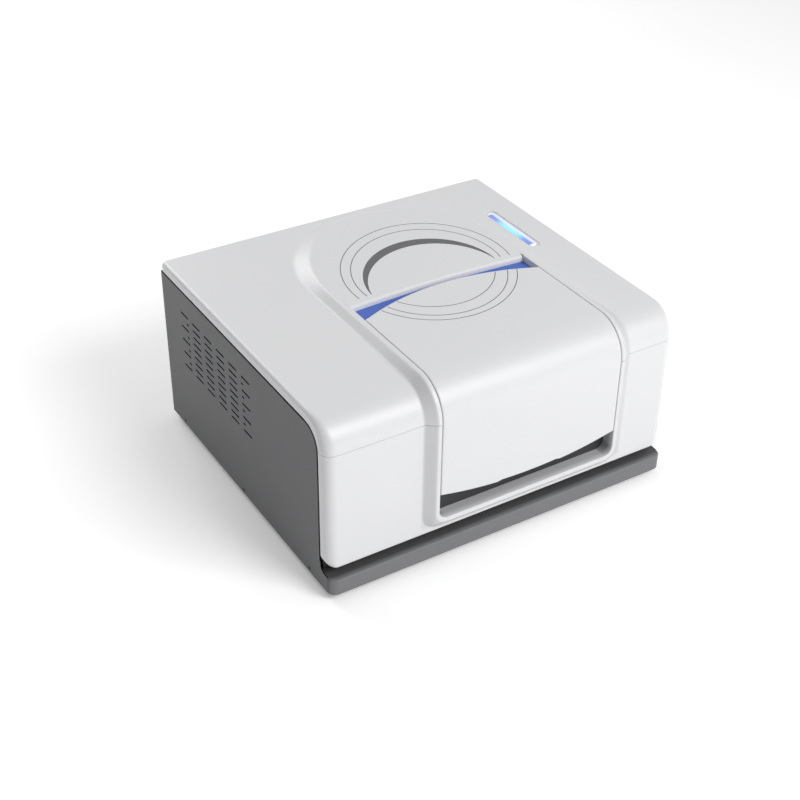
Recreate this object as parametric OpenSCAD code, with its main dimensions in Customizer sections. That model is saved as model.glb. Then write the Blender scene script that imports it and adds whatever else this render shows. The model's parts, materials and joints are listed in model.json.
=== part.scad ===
// Bench-top spectrophotometer: white moulded covers on a grey sheet-steel case, a wrap-over
// sample lid on concealed gooseneck hinges, and split-beam optics inside.
// Millimetres, +Z up, front towards -Y. Origin: centre of the bounding box, on the table.

/* [Body] */
// Width over the side panels
body_w = 450; // [440:1:470]
// Depth of the base and side panels
body_d = 407; // [405:1:415]
// Height of the flat top above the underside of the base
body_h = 213.5; // [212:0.5:220]
// Height of the rubber feet
foot_h = 8; // [5:0.5:14]
// Height of the plinth that shows below the front cover
plinth_h = 20.5; // [16:0.5:24]
// Thickness of the sheet-steel side and rear panels
sheet_t = 1.5; // [1:0.1:2]

/* [Covers] */
// Radius of the bend from the top to the front
cover_r = 35; // [30:1:38]
// Wall of the moulded covers
cover_t = 3; // [2.5:0.5:3.5]
// Height of the white band above the side panels
cover_band = 13; // [11:0.5:15]
// How far the front cover wraps round the sides
cover_wrap = 18; // [16:1:22]
// Gap from the plinth up to the front cover
cover_gap = 10.5; // [8:0.5:13]
// Radius of the vertical front edges
edge_r = 12; // [8:1:14]
// Gap between covers and panels
shadow_gap = 1.5; // [1:0.1:2]

/* [Arch] */
// Centre of the raised arch, right of the middle of the body
arch_x = 26; // [20:1:30]
// Rise of the arch above the covers
arch_rise = 8.5; // [8:0.1:9]
// Half width of the arch at its crest
crest_hw = 122; // [121.5:0.5:124]
// Half width of the arch at its foot
foot_hw = 135.5; // [133:0.5:138]

/* [Lid] */
// Half width of the sample lid
lid_hw = 116.8; // [116:0.1:117]
// Gap round the lid
lid_gap = 0.8; // [0.6:0.1:1]
// Wall of the lid shell
lid_t = 3.5; // [3:0.1:3.6]
// Angle to which the lid opens
lid_open = 70; // [60:1:72]

/* [Optics] */
// Height of the light beam above the table
beam_z = 150; // [148:1:152]
// Number of cells in the cuvette carriage
cell_n = 4; // [2:1:4]
// Distance between cells
cell_pitch = 15; // [14.5:0.1:15]

/* [Hidden] */
$fn = 64;
eps = 0.01;

// Main planes
x_half = body_w / 2;
y_half = body_d / 2;
base_z = foot_h;
plinth_z = base_z + plinth_h;
top_z = base_z + body_h;
arch_z = top_z + arch_rise;
panel_z = top_z - cover_band;
cover_y = -y_half + 6.5;
panel_y = cover_y + cover_wrap;
arch_y = cover_y - arch_rise;
bend_y = cover_y + cover_r;
seam_z = top_z - cover_r;
front_z = plinth_z + cover_gap;
seam_gap = 0.5;
rear_y = y_half - sheet_t;
panel_x = x_half - sheet_t;
nose = 10;
nose_r = 9;

// Lid opening, finger recess and the blue floor behind the lid
open_hw = lid_hw + lid_gap;
recess_z = front_z + 21;
recess_r = 11;
open_back_y = -50;
deck_y = -9;
deck_r = 1348;
roll_r = 7;
oval_tilt = -22.6;
lid_back_y = -20;
lid_back_r = 272;
lid_low_z = recess_z + 20.5;
lid_low_r = 524;
lid_rim = 9;

// Hinge of the lid
hinge_y = 12;
hinge_z = top_z - 25.5;
pin_r = 4;
fit = 0.05;
arm_in = 43;
arm_out = 51;
arm_w = 6;
arm_dx = 32;

// Sample compartment
tub_hw = 106;
tub_t = 2.5;
tub_y0 = -182;
tub_y1 = -56;
tub_z0 = 88;
tub_rim_z = top_z - 5.5;
sill_z = 118;
beam_y = -114.5;

// Carriage: the first cell stands in the beam at rest
rod_r = 4;
rod_dx = 22;
rod_z = 105;
screw_r = 3;
carriage_y1 = beam_y + (cell_n - 0.5) * cell_pitch;
carriage_y0 = beam_y - cell_pitch / 2;
well = 12.9;
well_z = 129;
cell = 12.5;
cell_wall = 1.25;
cell_h = 45;

// Optical bench and what stands on it
bench_z = 96;
bench_t = 8;
deck_z = bench_z + bench_t;
bench_hw = 204;
source_x = 160;
source_y = 130;
mono_x = -170;
grating_x = 60;
grating_y = 78;
turn_x = -155;
return_y = -10;
fan_x = -130;
fan_z = 130;
fan_size = 80;
port_z = 52;
inlet_x = 165;
switch_x = 118;
usb_x = 70;

WHITE = [0.88, 0.88, 0.89];
GREY = [0.38, 0.39, 0.40];
DARK = [0.16, 0.16, 0.17];
STEEL = [0.70, 0.71, 0.73];
BLUE = [0.27, 0.41, 0.75];
GLASS = [0.75, 0.88, 0.95];
BOARD = [0.08, 0.35, 0.20];

// ---------------------------------------------------------------- helpers

// Extrudes a (y, z) outline along x
module along_x(x0, x1) {
    translate([x0, 0, 0]) rotate([90, 0, 90]) linear_extrude(x1 - x0) children();
}

// Extrudes an (x, z) outline along y
module along_y(y0, y1) {
    translate([0, y1, 0]) rotate([90, 0, 0]) linear_extrude(y1 - y0) children();
}

module rod_x(x0, x1, y, z, r) {
    translate([x0, y, z]) rotate([0, 90, 0]) cylinder(h = x1 - x0, r = r);
}

module rod_y(x, y0, y1, z, r) {
    translate([x, y1, z]) rotate([90, 0, 0]) cylinder(h = y1 - y0, r = r);
}

module block(x0, x1, y0, y1, z0, z1) {
    translate([x0, y0, z0]) cube([x1 - x0, y1 - y0, z1 - z0]);
}

// A copy on each side of the arch's own middle plane
module arch_pair(dx) {
    for (s = [-1, 1]) translate([arch_x + s * dx, 0, 0]) children();
}

// Side outline of the covers, moved outwards by grow, from z0 up and back to y1
module wrap_profile(grow, y1, z0) {
    intersection() {
        union() {
            translate([bend_y, seam_z]) circle(r = cover_r + grow, $fn = 128);
            translate([cover_y - grow, z0]) square([cover_r + grow, seam_z - z0]);
            translate([bend_y, z0]) square([y1 - bend_y, top_z + grow - z0]);
        }
        translate([cover_y - grow - 1, z0]) square([y1 - cover_y + grow + 1, 300]);
    }
}

// Plan outline with two round front corners
module round_front(hw, y0, y1, r) {
    intersection() {
        union() {
            translate([-hw, y0 + r]) square([2 * hw, y1 - y0]);
            translate([-hw + r, y0]) square([2 * (hw - r), r + eps]);
            for (s = [-1, 1]) translate([s * (hw - r), y0 + r]) circle(r = r);
        }
        translate([-hw, y0]) square([2 * hw, y1 - y0]);
    }
}

// Front outline with two round lower corners, from z0 up to z1
module round_foot(hw, z0, z1, r) {
    translate([-hw, z0 + r]) square([2 * hw, z1 - z0 - r]);
    translate([-hw + r, z0]) square([2 * (hw - r), r + eps]);
    for (s = [-1, 1]) translate([s * (hw - r), z0 + r]) circle(r = r);
}

// A slot with round ends, length along the first axis
module pill(length, width) {
    square([length - width, width], center = true);
    for (s = [-1, 1]) translate([s * (length - width) / 2, 0]) circle(d = width);
}

// ---------------------------------------------------------------- base and panels

module plinth_plan(inset) {
    r = nose_r - inset;
    intersection() {
        round_front(x_half - inset, -y_half + inset, -150, r);
        translate([-x_half, -y_half]) square([body_w, nose]);
    }
    translate([-panel_x + 0.1 + inset, -y_half + nose - eps])
        square([2 * (panel_x - 0.1 - inset), 28 - nose]);
}

module base_tray() {
    wall_y = -y_half + 27.9;
    color(GREY) difference() {
        union() {
            translate([0, 0, base_z]) linear_extrude(plinth_h) plinth_plan(0);
            block(-panel_x + 0.1, panel_x - 0.1, wall_y - 2, rear_y - 0.1, base_z, base_z + 2);
            for (s = [-1, 1]) translate([s * (panel_x - 1.1), 0, 0])
                block(-1, 1, wall_y - 2, rear_y - 0.1, base_z, base_z + 16);
            block(-panel_x + 0.1, panel_x - 0.1, rear_y - 2.1, rear_y - 0.1, base_z, base_z + 16);
            block(-panel_x + 3, panel_x - 3, wall_y - 2, wall_y, base_z, front_z + 30);
        }
        translate([0, 0, base_z + 2]) linear_extrude(plinth_h - 4) plinth_plan(2);
        side_screw_places() rod_x(-12, 1, 0, 0, 1.5);
        rear_screw_places() rod_y(0, rear_y - 5, y_half, 0, 1.7);
    }
}

// The three screw places on each side: children are drawn with +x pointing outwards
module side_screw_places() {
    for (y = [167, 5, -154]) {
        translate([x_half, y, base_z + 5]) children();
        mirror([1, 0, 0]) translate([x_half, y, base_z + 5]) children();
    }
}

module panel_outline() {
    r = 26;
    fillet = 8;
    difference() {
        union() {
            translate([-y_half + nose, base_z]) square([y_half + rear_y - nose + sheet_t, plinth_h]);
            translate([panel_y, base_z]) square([y_half - panel_y, panel_z - base_z - r]);
            translate([panel_y + r, base_z]) square([y_half - panel_y - r, panel_z - base_z]);
            translate([panel_y + r, panel_z - r]) circle(r = r);
            translate([panel_y - fillet, base_z]) square([fillet + 1, plinth_h + fillet]);
        }
        translate([panel_y - fillet, plinth_z + fillet]) circle(r = fillet);
    }
}

// Six columns of nine louvre slots; the outer columns alternate with short slots
module vent_slots() {
    for (row = [0:8], col = [0:5]) {
        y = 142 - 31.5 * col;
        z = 178 - 9 * row;
        short = (row % 2 == 1) && (col == 0 || col == 5);
        shift = col == 0 ? -7.5 : 7.5;
        translate([y + (short ? shift : 0), z]) pill(short ? 6 : 20, 2.5);
    }
}

module side_panel() {
    difference() {
        along_x(panel_x, x_half) difference() {
            panel_outline();
            vent_slots();
        }
        for (y = [167, 5, -154]) rod_x(panel_x - 1, x_half + 1, y, base_z + 5, 3);
    }
}

module left_side_panel() {
    color(GREY) mirror([1, 0, 0]) side_panel();
}

module right_side_panel() {
    color(GREY) side_panel();
}

module rear_screw_places() {
    for (s = [-1, 1], z = [base_z + 9, 110, panel_z - 9]) translate([s * (panel_x - 10), 0, z]) children();
    for (x = [-60, 60]) translate([x, 0, panel_z - 9]) children();
}

module fan_screw_places() {
    pitch = fan_size / 2 - 4.25;
    for (a = [-1, 1], b = [-1, 1]) translate([fan_x + a * pitch, 0, fan_z + b * pitch]) children();
}

module rear_panel() {
    color(GREY) difference() {
        block(-panel_x + 0.1, panel_x - 0.1, rear_y, y_half, base_z, panel_z);
        rod_y(fan_x, rear_y - 1, y_half + 1, fan_z, 38);
        block(inlet_x - 13.8, inlet_x + 13.8, rear_y - 1, y_half + 1, port_z - 10.2, port_z + 10.2);
        block(switch_x - 10.2, switch_x + 10.2, rear_y - 1, y_half + 1, port_z - 13.7, port_z + 13.7);
        block(usb_x - 6.2, usb_x + 6.2, rear_y - 1, y_half + 1, port_z - 5.7, port_z + 5.7);
        rear_screw_places() rod_y(0, rear_y - 1, y_half + 1, 0, 1.7);
        fan_screw_places() rod_y(0, rear_y - 1, y_half + 1, 0, 1.7);
        along_y(rear_y - 1, y_half + 1) for (i = [0:9]) translate([source_x, 110 + 8 * i]) pill(60, 3);
    }
}

module corner_posts() {
    color(STEEL) for (x = [-1, 1], y = [-165, 188]) difference() {
        translate([x * 213, y, base_z + 2]) linear_extrude(panel_z - base_z - 6) square(13, center = true);
        translate([x * 213, y, base_z + 1]) linear_extrude(panel_z) square(10, center = true);
    }
}

module rubber_feet() {
    color(DARK) for (x = [-185, 185], y = [-165, 165]) translate([x, y, 0]) {
        cylinder(h = 2, r1 = 10.5, r2 = 12);
        translate([0, 0, 2]) cylinder(h = foot_h - 2, r = 12);
    }
}

module side_screws() {
    color(DARK) side_screw_places() difference() {
        union() {
            rod_x(-sheet_t, -0.1, 0, 0, 2.9);
            rod_x(-9, -sheet_t + eps, 0, 0, 1.45);
        }
        translate([-0.8, 0, 0]) rotate([0, 90, 0]) cylinder(h = 2, r = 1.3, $fn = 6);
    }
}

module rear_screws() {
    color(DARK) {
        rear_screw_places() rear_screw(y_half, 8);
        fan_screw_places() rear_screw(y_half + 1.2, 16);
    }
}

// Screw with its head on the plane y = seat and a hexagon socket
module rear_screw(seat, length) {
    difference() {
        union() {
            rod_y(0, seat, seat + 0.8, 0, 3);
            rod_y(0, seat - length, seat + 0.7, 0, 1.6);
        }
        translate([0, seat + 1, 0]) rotate([90, 0, 0]) cylinder(h = 0.9, r = 1.3, $fn = 6);
    }
}

// ---------------------------------------------------------------- covers

// Foot and crest outlines of the arch, seen from above
module arch_foot_plan(hw) {
    translate([-hw, bend_y]) square([2 * hw, 61 - bend_y]);
    translate([0, 61]) circle(r = hw, $fn = 96);
}

module arch_crest_plan(hw) {
    translate([-hw, bend_y]) square([2 * hw, 20 - bend_y]);
    translate([0, 20]) scale([1, 149.6 / crest_hw]) circle(r = hw, $fn = 96);
}

// Raised arch on the flat top and round the bend
module arch_top() {
    translate([arch_x, 0, 0]) {
        hull() {
            translate([0, 0, top_z - 1]) linear_extrude(1) arch_foot_plan(foot_hw);
            translate([0, 0, arch_z - eps]) linear_extrude(eps) arch_crest_plan(crest_hw);
        }
        translate([0, bend_y, seam_z]) rotate([90, 0, 90]) rotate([0, 0, 90])
            rotate_extrude(angle = 90, $fn = 128) polygon([
                [cover_r - 1, -foot_hw], [cover_r, -foot_hw], [cover_r + arch_rise, -crest_hw],
                [cover_r + arch_rise, crest_hw], [cover_r, foot_hw], [cover_r - 1, foot_hw]
            ]);
    }
}

// Raised arch on the front, down to its round lower corners
module arch_front() {
    translate([arch_x, 0, 0]) hull() {
        along_y(cover_y, cover_y + 1) round_foot(foot_hw, front_z + 5, seam_z, 22);
        along_y(arch_y, arch_y + eps) round_foot(crest_hw, recess_z - 5, seam_z, 15);
    }
}

// The space in front of the rear deck, with the deck's round front edge left standing
module deck_cut() {
    intersection() {
        translate([arch_x - open_hw, open_back_y - 60, top_z]) cube([2 * open_hw, 120, 20]);
        translate([arch_x, deck_y - deck_r, 0]) rotate_extrude($fn = 720) difference() {
            translate([deck_r - 100, top_z - 1]) square([100 + roll_r, 30]);
            translate([deck_r, top_z - 2]) square([roll_r + 1, arch_z - roll_r - top_z + 2]);
            translate([deck_r + roll_r, arch_z - roll_r]) circle(r = roll_r);
        }
    }
}

module light_slot(length, width) {
    translate([181, 61.5]) rotate(90) pill(length, width);
}

module arm_slots() {
    arch_pair(arm_dx) block(-5, 5, -36, -21, top_z - 5, top_z + 1);
}

module top_cover_shell() {
    difference() {
        intersection() {
            along_x(-x_half, x_half) wrap_profile(0, y_half, seam_z + seam_gap);
            along_y(-y_half, y_half + 1) intersection() {
                translate([-x_half, 0]) square([body_w, top_z]);
                union() {
                    translate([-x_half, 0]) square([body_w, top_z - 5]);
                    translate([-x_half + 5, 0]) square([body_w - 10, top_z + 1]);
                    for (s = [-1, 1]) translate([s * (x_half - 5), top_z - 5]) circle(r = 5);
                }
            }
        }
        along_x(-x_half + cover_t, x_half - cover_t) wrap_profile(-cover_t, y_half - cover_t, 150);
        along_x(-x_half - 1, x_half + 1) {
            translate([panel_y - shadow_gap, 100]) square([500, panel_z + shadow_gap - 100 - 27]);
            translate([panel_y - shadow_gap + 27, 100]) square([500, panel_z + shadow_gap - 100]);
            translate([panel_y - shadow_gap + 27, panel_z + shadow_gap - 27]) circle(r = 27);
        }
    }
}

module top_cover() {
    color(WHITE) difference() {
        union() {
            top_cover_shell();
            difference() {
                arch_top();
                block(-300, 300, -300, 300, 0, seam_z + seam_gap);
                // hollow of the rear deck, and of the bend behind the rim
                translate([arch_x, 30, top_z - 10]) intersection() {
                    cylinder(h = 10 + arch_rise - cover_t, r = 108, $fn = 128);
                    block(-120, 120, -28, 120, 0, 50);
                }
            }
            arch_pair(open_hw + 1.5) along_x(-1.5, 1.5) difference() {
                wrap_profile(arch_rise - 1, open_back_y, seam_z + seam_gap);
                wrap_profile(-5.2, open_back_y + 1, seam_z - 10);
            }
            for (y = [9, 114]) translate([181, y, top_z - 5]) cylinder(h = 3, r = 3.5);
        }
        along_x(arch_x - open_hw, arch_x + open_hw)
            translate([-300, 100]) square([300 + open_back_y, 200]);
        deck_cut();
        translate([0, 0, top_z - 1]) linear_extrude(2) trim_outline(0);
        translate([0, 0, arch_z - 0.8]) linear_extrude(2) crescent_outline(0.1);
        translate([0, 0, top_z - 1.6]) linear_extrude(3) light_slot(108, 16);
        translate([0, 0, top_z - 8]) linear_extrude(10) light_slot(97, 10.6);
        arm_slots();
    }
}

module front_cover() {
    z1 = seam_z;
    color(WHITE) difference() {
        union() {
            difference() {
                intersection() {
                    translate([0, 0, front_z]) linear_extrude(z1 - front_z)
                        round_front(x_half, cover_y, panel_y - shadow_gap, edge_r);
                    along_y(-y_half, 0) round_foot(x_half, front_z, z1, 13);
                }
                intersection() {
                    translate([0, 0, front_z]) linear_extrude(z1)
                        round_front(x_half - cover_t, cover_y + cover_t, panel_y + 9, edge_r - cover_t);
                    along_y(-y_half, 0) round_foot(x_half - cover_t, front_z + cover_t, z1 + 9, 10);
                }
            }
            arch_front();
            translate([arch_x, 0, 0]) along_y(arch_y + 2, -188.5) round_foot(open_hw + 3, recess_z - 3, z1, 14);
        }
        translate([arch_x, 0, 0]) along_y(arch_y - 9, -180) round_foot(open_hw, recess_z, z1 + 9, recess_r);
    }
}

// Tilted oval: the crescent follows two of them, and the grooves run parallel to it
module oval(cx, cy, a) {
    b = a * 1.116;
    polygon([for (t = [0:3:357]) [
        cx + a * cos(t) * cos(oval_tilt) - b * sin(t) * sin(oval_tilt),
        cy + a * cos(t) * sin(oval_tilt) + b * sin(t) * cos(oval_tilt)
    ]]);
}

// Thin moon between two ovals, down to the deck's round front edge
module crescent_outline(grow) {
    difference() {
        oval(26, -5, 83 + grow);
        oval(25, -19.5, 83.6 - grow);
        translate([arch_x, deck_y - deck_r]) circle(r = deck_r + roll_r + 0.6 - grow, $fn = 720);
    }
}

module crescent_inlay() {
    color(GREY) translate([0, 0, arch_z - 0.8]) linear_extrude(0.8) crescent_outline(0);
}

module trim_outline(inset) {
    difference() {
        intersection() {
            translate([arch_x - open_hw + inset, open_back_y + inset])
                square([2 * (open_hw - inset), 60]);
            translate([arch_x, deck_y - deck_r]) circle(r = deck_r - inset, $fn = 720);
        }
        arch_pair(arm_dx) translate([-5 - inset, -36 - inset]) square([10 + 2 * inset, 15 + 2 * inset]);
    }
}

module blue_trim_strip() {
    color(BLUE) translate([0, 0, top_z - 1]) linear_extrude(1) trim_outline(0.1);
}

module sill_panel() {
    color(DARK) translate([arch_x, 0, 0]) {
        along_y(-188.3, -186.3) round_foot(open_hw + 2.5, recess_z - 2.5, sill_z, 13);
        block(-open_hw + 0.4, open_hw - 0.4, -190.5, tub_y0 - 0.2, sill_z - 2, sill_z);
    }
}

module light_lens() {
    color(GLASS) translate([0, 0, top_z - 3.6]) linear_extrude(2.6) light_slot(96.6, 10.2);
}

module led_board() {
    color(BOARD) {
        translate([0, 0, top_z - 6.6]) linear_extrude(1.6) light_slot(112, 14);
        for (i = [-4:4]) translate([181 - 2, 61.5 + 10 * i - 2, top_z - 5 - eps]) cube([4, 4, 1.3]);
    }
}

// ---------------------------------------------------------------- lid

module lid_bound() {
    intersection() {
        translate([arch_x, lid_back_y - lid_back_r, 0]) cylinder(h = 300, r = lid_back_r, $fn = 360);
        translate([arch_x, 100, lid_low_z + lid_low_r]) rotate([90, 0, 0])
            cylinder(h = 400, r = lid_low_r, $fn = 720);
    }
}

module sample_lid() {
    rim_y = open_back_y - 5;
    color(WHITE) intersection() {
        lid_bound();
        union() {
            along_x(arch_x - lid_hw, arch_x + lid_hw) difference() {
                wrap_profile(arch_rise, 0, recess_z);
                wrap_profile(arch_rise - lid_t, 1, recess_z - 5);
            }
            arch_pair(lid_hw - 1.5) along_x(-1.5, 1.5) difference() {
                wrap_profile(arch_rise - lid_t + 1, rim_y, recess_z + 5);
                wrap_profile(arch_rise - lid_rim, rim_y + 1, recess_z);
            }
        }
    }
}

module lid_liner() {
    hw = lid_hw - 4.8;
    color(DARK) along_x(arch_x - hw, arch_x + hw) difference() {
        wrap_profile(arch_rise - lid_t - 0.1, tub_y1 + 2.5, recess_z + 40);
        wrap_profile(arch_rise - lid_t - 3.1, tub_y1 + 4, recess_z + 30);
    }
}

module lid_arms() {
    color(STEEL) arch_pair(arm_dx) difference() {
        union() {
            translate([0, hinge_y, hinge_z]) rotate([90, 0, 90]) {
                rotate([0, 0, 143.4]) rotate_extrude(angle = 88, $fn = 128)
                    translate([arm_in, -arm_w / 2]) square([arm_out - arm_in, arm_w]);
                rotate([0, 0, 228]) translate([0, -4, -arm_w / 2]) cube([arm_out - 1, 8, arm_w]);
                translate([0, 0, -6]) cylinder(h = 12, r = 9);
            }
            block(-8, 8, tub_y1 + 3, -27.5, arch_z - lid_t - 3, arch_z - lid_t);
        }
        rod_x(-9, 9, hinge_y, hinge_z, pin_r + fit);
    }
}

module hinge_pin() {
    color(STEEL) rod_x(arch_x - 46, arch_x + 46, hinge_y, hinge_z, pin_r);
}

module hinge_brackets() {
    color(STEEL) arch_pair(42) difference() {
        union() {
            block(-2, 2, hinge_y - 10, hinge_y + 10, deck_z, hinge_z);
            rod_x(-2, 2, hinge_y, hinge_z, 10);
            block(-8, 8, hinge_y - 10, hinge_y + 10, deck_z, deck_z + 3);
        }
        rod_x(-3, 3, hinge_y, hinge_z, pin_r + 0.02);
    }
}

module lid_bumpers() {
    color(DARK) arch_pair(98) translate([0, -46, top_z]) cylinder(h = arch_rise - lid_t - 0.2, r = 2.8);
}

// ---------------------------------------------------------------- sample compartment

module compartment_tub() {
    out = tub_hw + tub_t;
    color(DARK) difference() {
        intersection() {
            union() {
                translate([arch_x, 0, 0]) {
                    block(-out, out, tub_y0, tub_y1, tub_z0, tub_rim_z);
                    block(-tub_hw - 16, tub_hw + 16, tub_y0, tub_y1 + 8, tub_rim_z - 2.5, tub_rim_z);
                    block(-tub_hw - 14, tub_hw + 14, tub_y0, tub_y0 + 2.5, recess_z, tub_rim_z);
                }
            }
            along_x(-300, 300) wrap_profile(-5.4, 0, 0);
        }
        translate([arch_x, 0, 0]) {
            block(-tub_hw, tub_hw, tub_y0 + tub_t, tub_y1 - tub_t, tub_z0 + tub_t, 300);
            block(-tub_hw, tub_hw, tub_y0 - 1, tub_y0 + 4, sill_z, 300);
        }
        for (s = [-1, 1]) rod_y(arch_x + s * rod_dx, tub_y0 - 1, tub_y1 + 1, rod_z, rod_r + 0.02);
        rod_y(arch_x, tub_y1 - 9, tub_y1 + 1, rod_z, screw_r + 0.5);
        rod_x(arch_x - out - 1, arch_x + out + 1, beam_y, beam_z, 11.02);
    }
}

module compartment_seal() {
    z1 = arch_z - lid_t - 3.4;
    color(DARK) translate([arch_x, 0, tub_rim_z]) linear_extrude(z1 - tub_rim_z) difference() {
        translate([-tub_hw - 5.8, -160]) square([2 * tub_hw + 11.6, 160 + tub_y1 + 2]);
        translate([-tub_hw - 0.8, -161]) square([2 * tub_hw + 1.6, 161 + tub_y1 - 2.4]);
    }
}

module beam_lenses() {
    out = tub_hw + tub_t;
    color(GLASS) for (s = [-1, 1]) translate([arch_x + s * (out - 1.5), 0, 0])
        rod_x(-2.5, 2.5, beam_y, beam_z, 11);
}

module cell_places() {
    for (i = [0:cell_n - 1]) translate([arch_x, beam_y + i * cell_pitch, 0]) children();
}

module cuvette_carriage() {
    color(STEEL) difference() {
        union() {
            block(arch_x - 30, arch_x + 30, carriage_y0, carriage_y1, rod_z - 8, rod_z + 8);
            block(arch_x - 11, arch_x + 11, carriage_y0, carriage_y1, rod_z + 8 - eps, beam_z + 10);
        }
        for (s = [-1, 1]) rod_y(arch_x + s * rod_dx, carriage_y0 - 1, carriage_y1 + 1, rod_z, rod_r + fit);
        rod_y(arch_x, carriage_y0 - 1, carriage_y1 + 1, rod_z, screw_r + fit);
        cell_places() {
            block(-well / 2, well / 2, -well / 2, well / 2, well_z, 300);
            rod_x(-20, 20, 0, beam_z, 4);
        }
    }
}

module cuvettes() {
    h = cell / 2;
    w = h - cell_wall;
    color(GLASS) cell_places() difference() {
        block(-h, h, -h, h, well_z, well_z + cell_h);
        block(-w, w, -w, w, well_z + 1.5, well_z + cell_h + 1);
    }
}

module guide_rods() {
    color(STEEL) for (s = [-1, 1]) rod_y(arch_x + s * rod_dx, tub_y0, tub_y1, rod_z, rod_r);
}

module lead_screw() {
    color(STEEL) rod_y(arch_x, tub_y0 + 4, tub_y1 + 12, rod_z, screw_r);
}

module screw_bearing() {
    color(STEEL) difference() {
        block(arch_x - 9, arch_x + 9, tub_y0 + 5, tub_y0 + 11, tub_z0 + tub_t, rod_z + 8);
        rod_y(arch_x, tub_y0 + 4, tub_y0 + 12, rod_z, screw_r + fit);
    }
}

module carriage_motor() {
    color(DARK) difference() {
        block(arch_x - 14, arch_x + 14, tub_y1, tub_y1 + 30, rod_z - 14, rod_z + 14);
        rod_y(arch_x, tub_y1 - 1, tub_y1 + 13, rod_z, screw_r + fit);
    }
}

// ---------------------------------------------------------------- optical bench

module optical_bench() {
    color(STEEL) difference() {
        block(-bench_hw, bench_hw, -165, 170, bench_z, deck_z);
        block(-104, 156, -170, -20, bench_z - 1, deck_z + 1);
        standoff_places() translate([0, 0, bench_z - 1]) cylinder(h = bench_t + 2, r = 2.2);
        for (x = [grating_x, source_x]) translate([x, x == grating_x ? grating_y : source_y, bench_z - 1])
            cylinder(h = bench_t + 2, r = 3.05);
    }
}

module standoff_places() {
    for (p = [[-196, -150], [-196, 158], [-60, -12], [75, -12], [75, 158], [196, -150], [196, 158]])
        translate([p[0], p[1], 0]) children();
}

module bench_standoffs() {
    color(STEEL) standoff_places() difference() {
        translate([0, 0, base_z + 2]) cylinder(h = bench_z - base_z - 2, r = 6);
        translate([0, 0, bench_z - 12]) cylinder(h = 20, r = 1.6);
    }
}

module lamp_house() {
    x0 = 115;
    x1 = 202;
    y0 = 42;
    y1 = 168;
    color(STEEL) difference() {
        block(x0, x1, y0, y1, deck_z, 196);
        block(x0 + 2.5, x1 - 2.5, y0 + 2.5, y1 - 2.5, deck_z - 1, 193);
        rod_x(x0 - 1, x0 + 5, source_y, beam_z, 10);
        for (i = [0:7]) block(x0 + 12, x1 - 12, y0 + 14 + 13 * i, y0 + 20 + 13 * i, 190, 200);
    }
}

module deuterium_lamp() {
    color(GLASS) translate([source_x, 74, deck_z]) {
        cylinder(h = 12, r = 18);
        translate([0, 0, 12]) cylinder(h = 52, r = 14);
        translate([0, 0, 64]) sphere(r = 14);
    }
}

module halogen_lamp() {
    color(GLASS) translate([188, source_y, deck_z]) {
        cylinder(h = 34, r = 8);
        translate([0, 0, 34]) cylinder(h = 14, r = 6);
        translate([0, 0, 48]) sphere(r = 6);
    }
}

// Flat mirror on a short shaft: at rest it stands across the beam at 45 degrees
module source_mirror() {
    color(STEEL) translate([source_x, source_y, 0]) {
        translate([0, 0, bench_z - 6]) cylinder(h = bench_t + 14, r = 3);
        rotate([0, 0, 45]) {
            translate([0, 0, deck_z + 4]) linear_extrude(30) square([22, 5], center = true);
            translate([0, 0, deck_z + 34 - eps]) linear_extrude(26) square([22, 3], center = true);
        }
    }
}

module motor_can(x, y, size, h) {
    translate([x, y, bench_z - h]) difference() {
        translate([-size / 2, -size / 2, 0]) cube([size, size, h]);
        translate([0, 0, h - 7]) cylinder(h = 8, r = 3.05);
    }
}

module mirror_motor() {
    color(DARK) motor_can(source_x, source_y, 28, 30);
}

// Disc with six filters on a shaft along x, one filter in the beam
module filter_wheel() {
    y = source_y + 20;
    color(DARK) difference() {
        union() {
            rod_x(98, 102, y, beam_z, 27);
            rod_x(84, 105, y, beam_z, 3);
        }
        filter_places() rod_x(97, 103, 0, 0, 7.02);
    }
}

module filter_places() {
    for (a = [30:60:330]) translate([0, source_y + 20 + 20 * sin(a), beam_z + 20 * cos(a)]) children();
}

module filter_glasses() {
    color(GLASS) filter_places() rod_x(98.5, 101.5, 0, 0, 7);
}

module filter_motor() {
    y = source_y + 20;
    color(STEEL) difference() {
        union() {
            block(64, 92, y - 14, y + 14, beam_z - 14, beam_z + 14);
            block(66, 74, y - 6, y + 6, deck_z, beam_z - 14 + eps);
        }
        rod_x(83, 93, y, beam_z, 3.05);
    }
}

module slit_plate(x, y, turn) {
    translate([x, y, 0]) rotate([0, 0, turn]) difference() {
        union() {
            block(-1.5, 1.5, -15, 15, deck_z, beam_z + 18);
            block(-9, 9, -15, 15, deck_z, deck_z + 4);
        }
        block(-3, 3, -0.6, 0.6, beam_z - 5, beam_z + 5);
    }
}

module entrance_slit() {
    color(DARK) slit_plate(48, source_y, 0);
}

module exit_slit() {
    color(DARK) slit_plate(100, 8, 20);
}

// Round mirror of radius r on a post, its face turned to the angle
module round_mirror(x, y, turn, r) {
    translate([x, y, 0]) rotate([0, 0, turn]) {
        rod_x(-3, 3, 0, beam_z, r);
        block(-9, -3, -r * 0.7, r * 0.7, deck_z, beam_z + r * 0.7);
        block(-14, 10, -r * 0.7, r * 0.7, deck_z, deck_z + 6);
    }
}

module collimating_mirror() {
    color(STEEL) round_mirror(mono_x, source_y, -7, 26);
}

module focusing_mirror() {
    color(STEEL) round_mirror(mono_x, 50, 3, 26);
}

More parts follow.
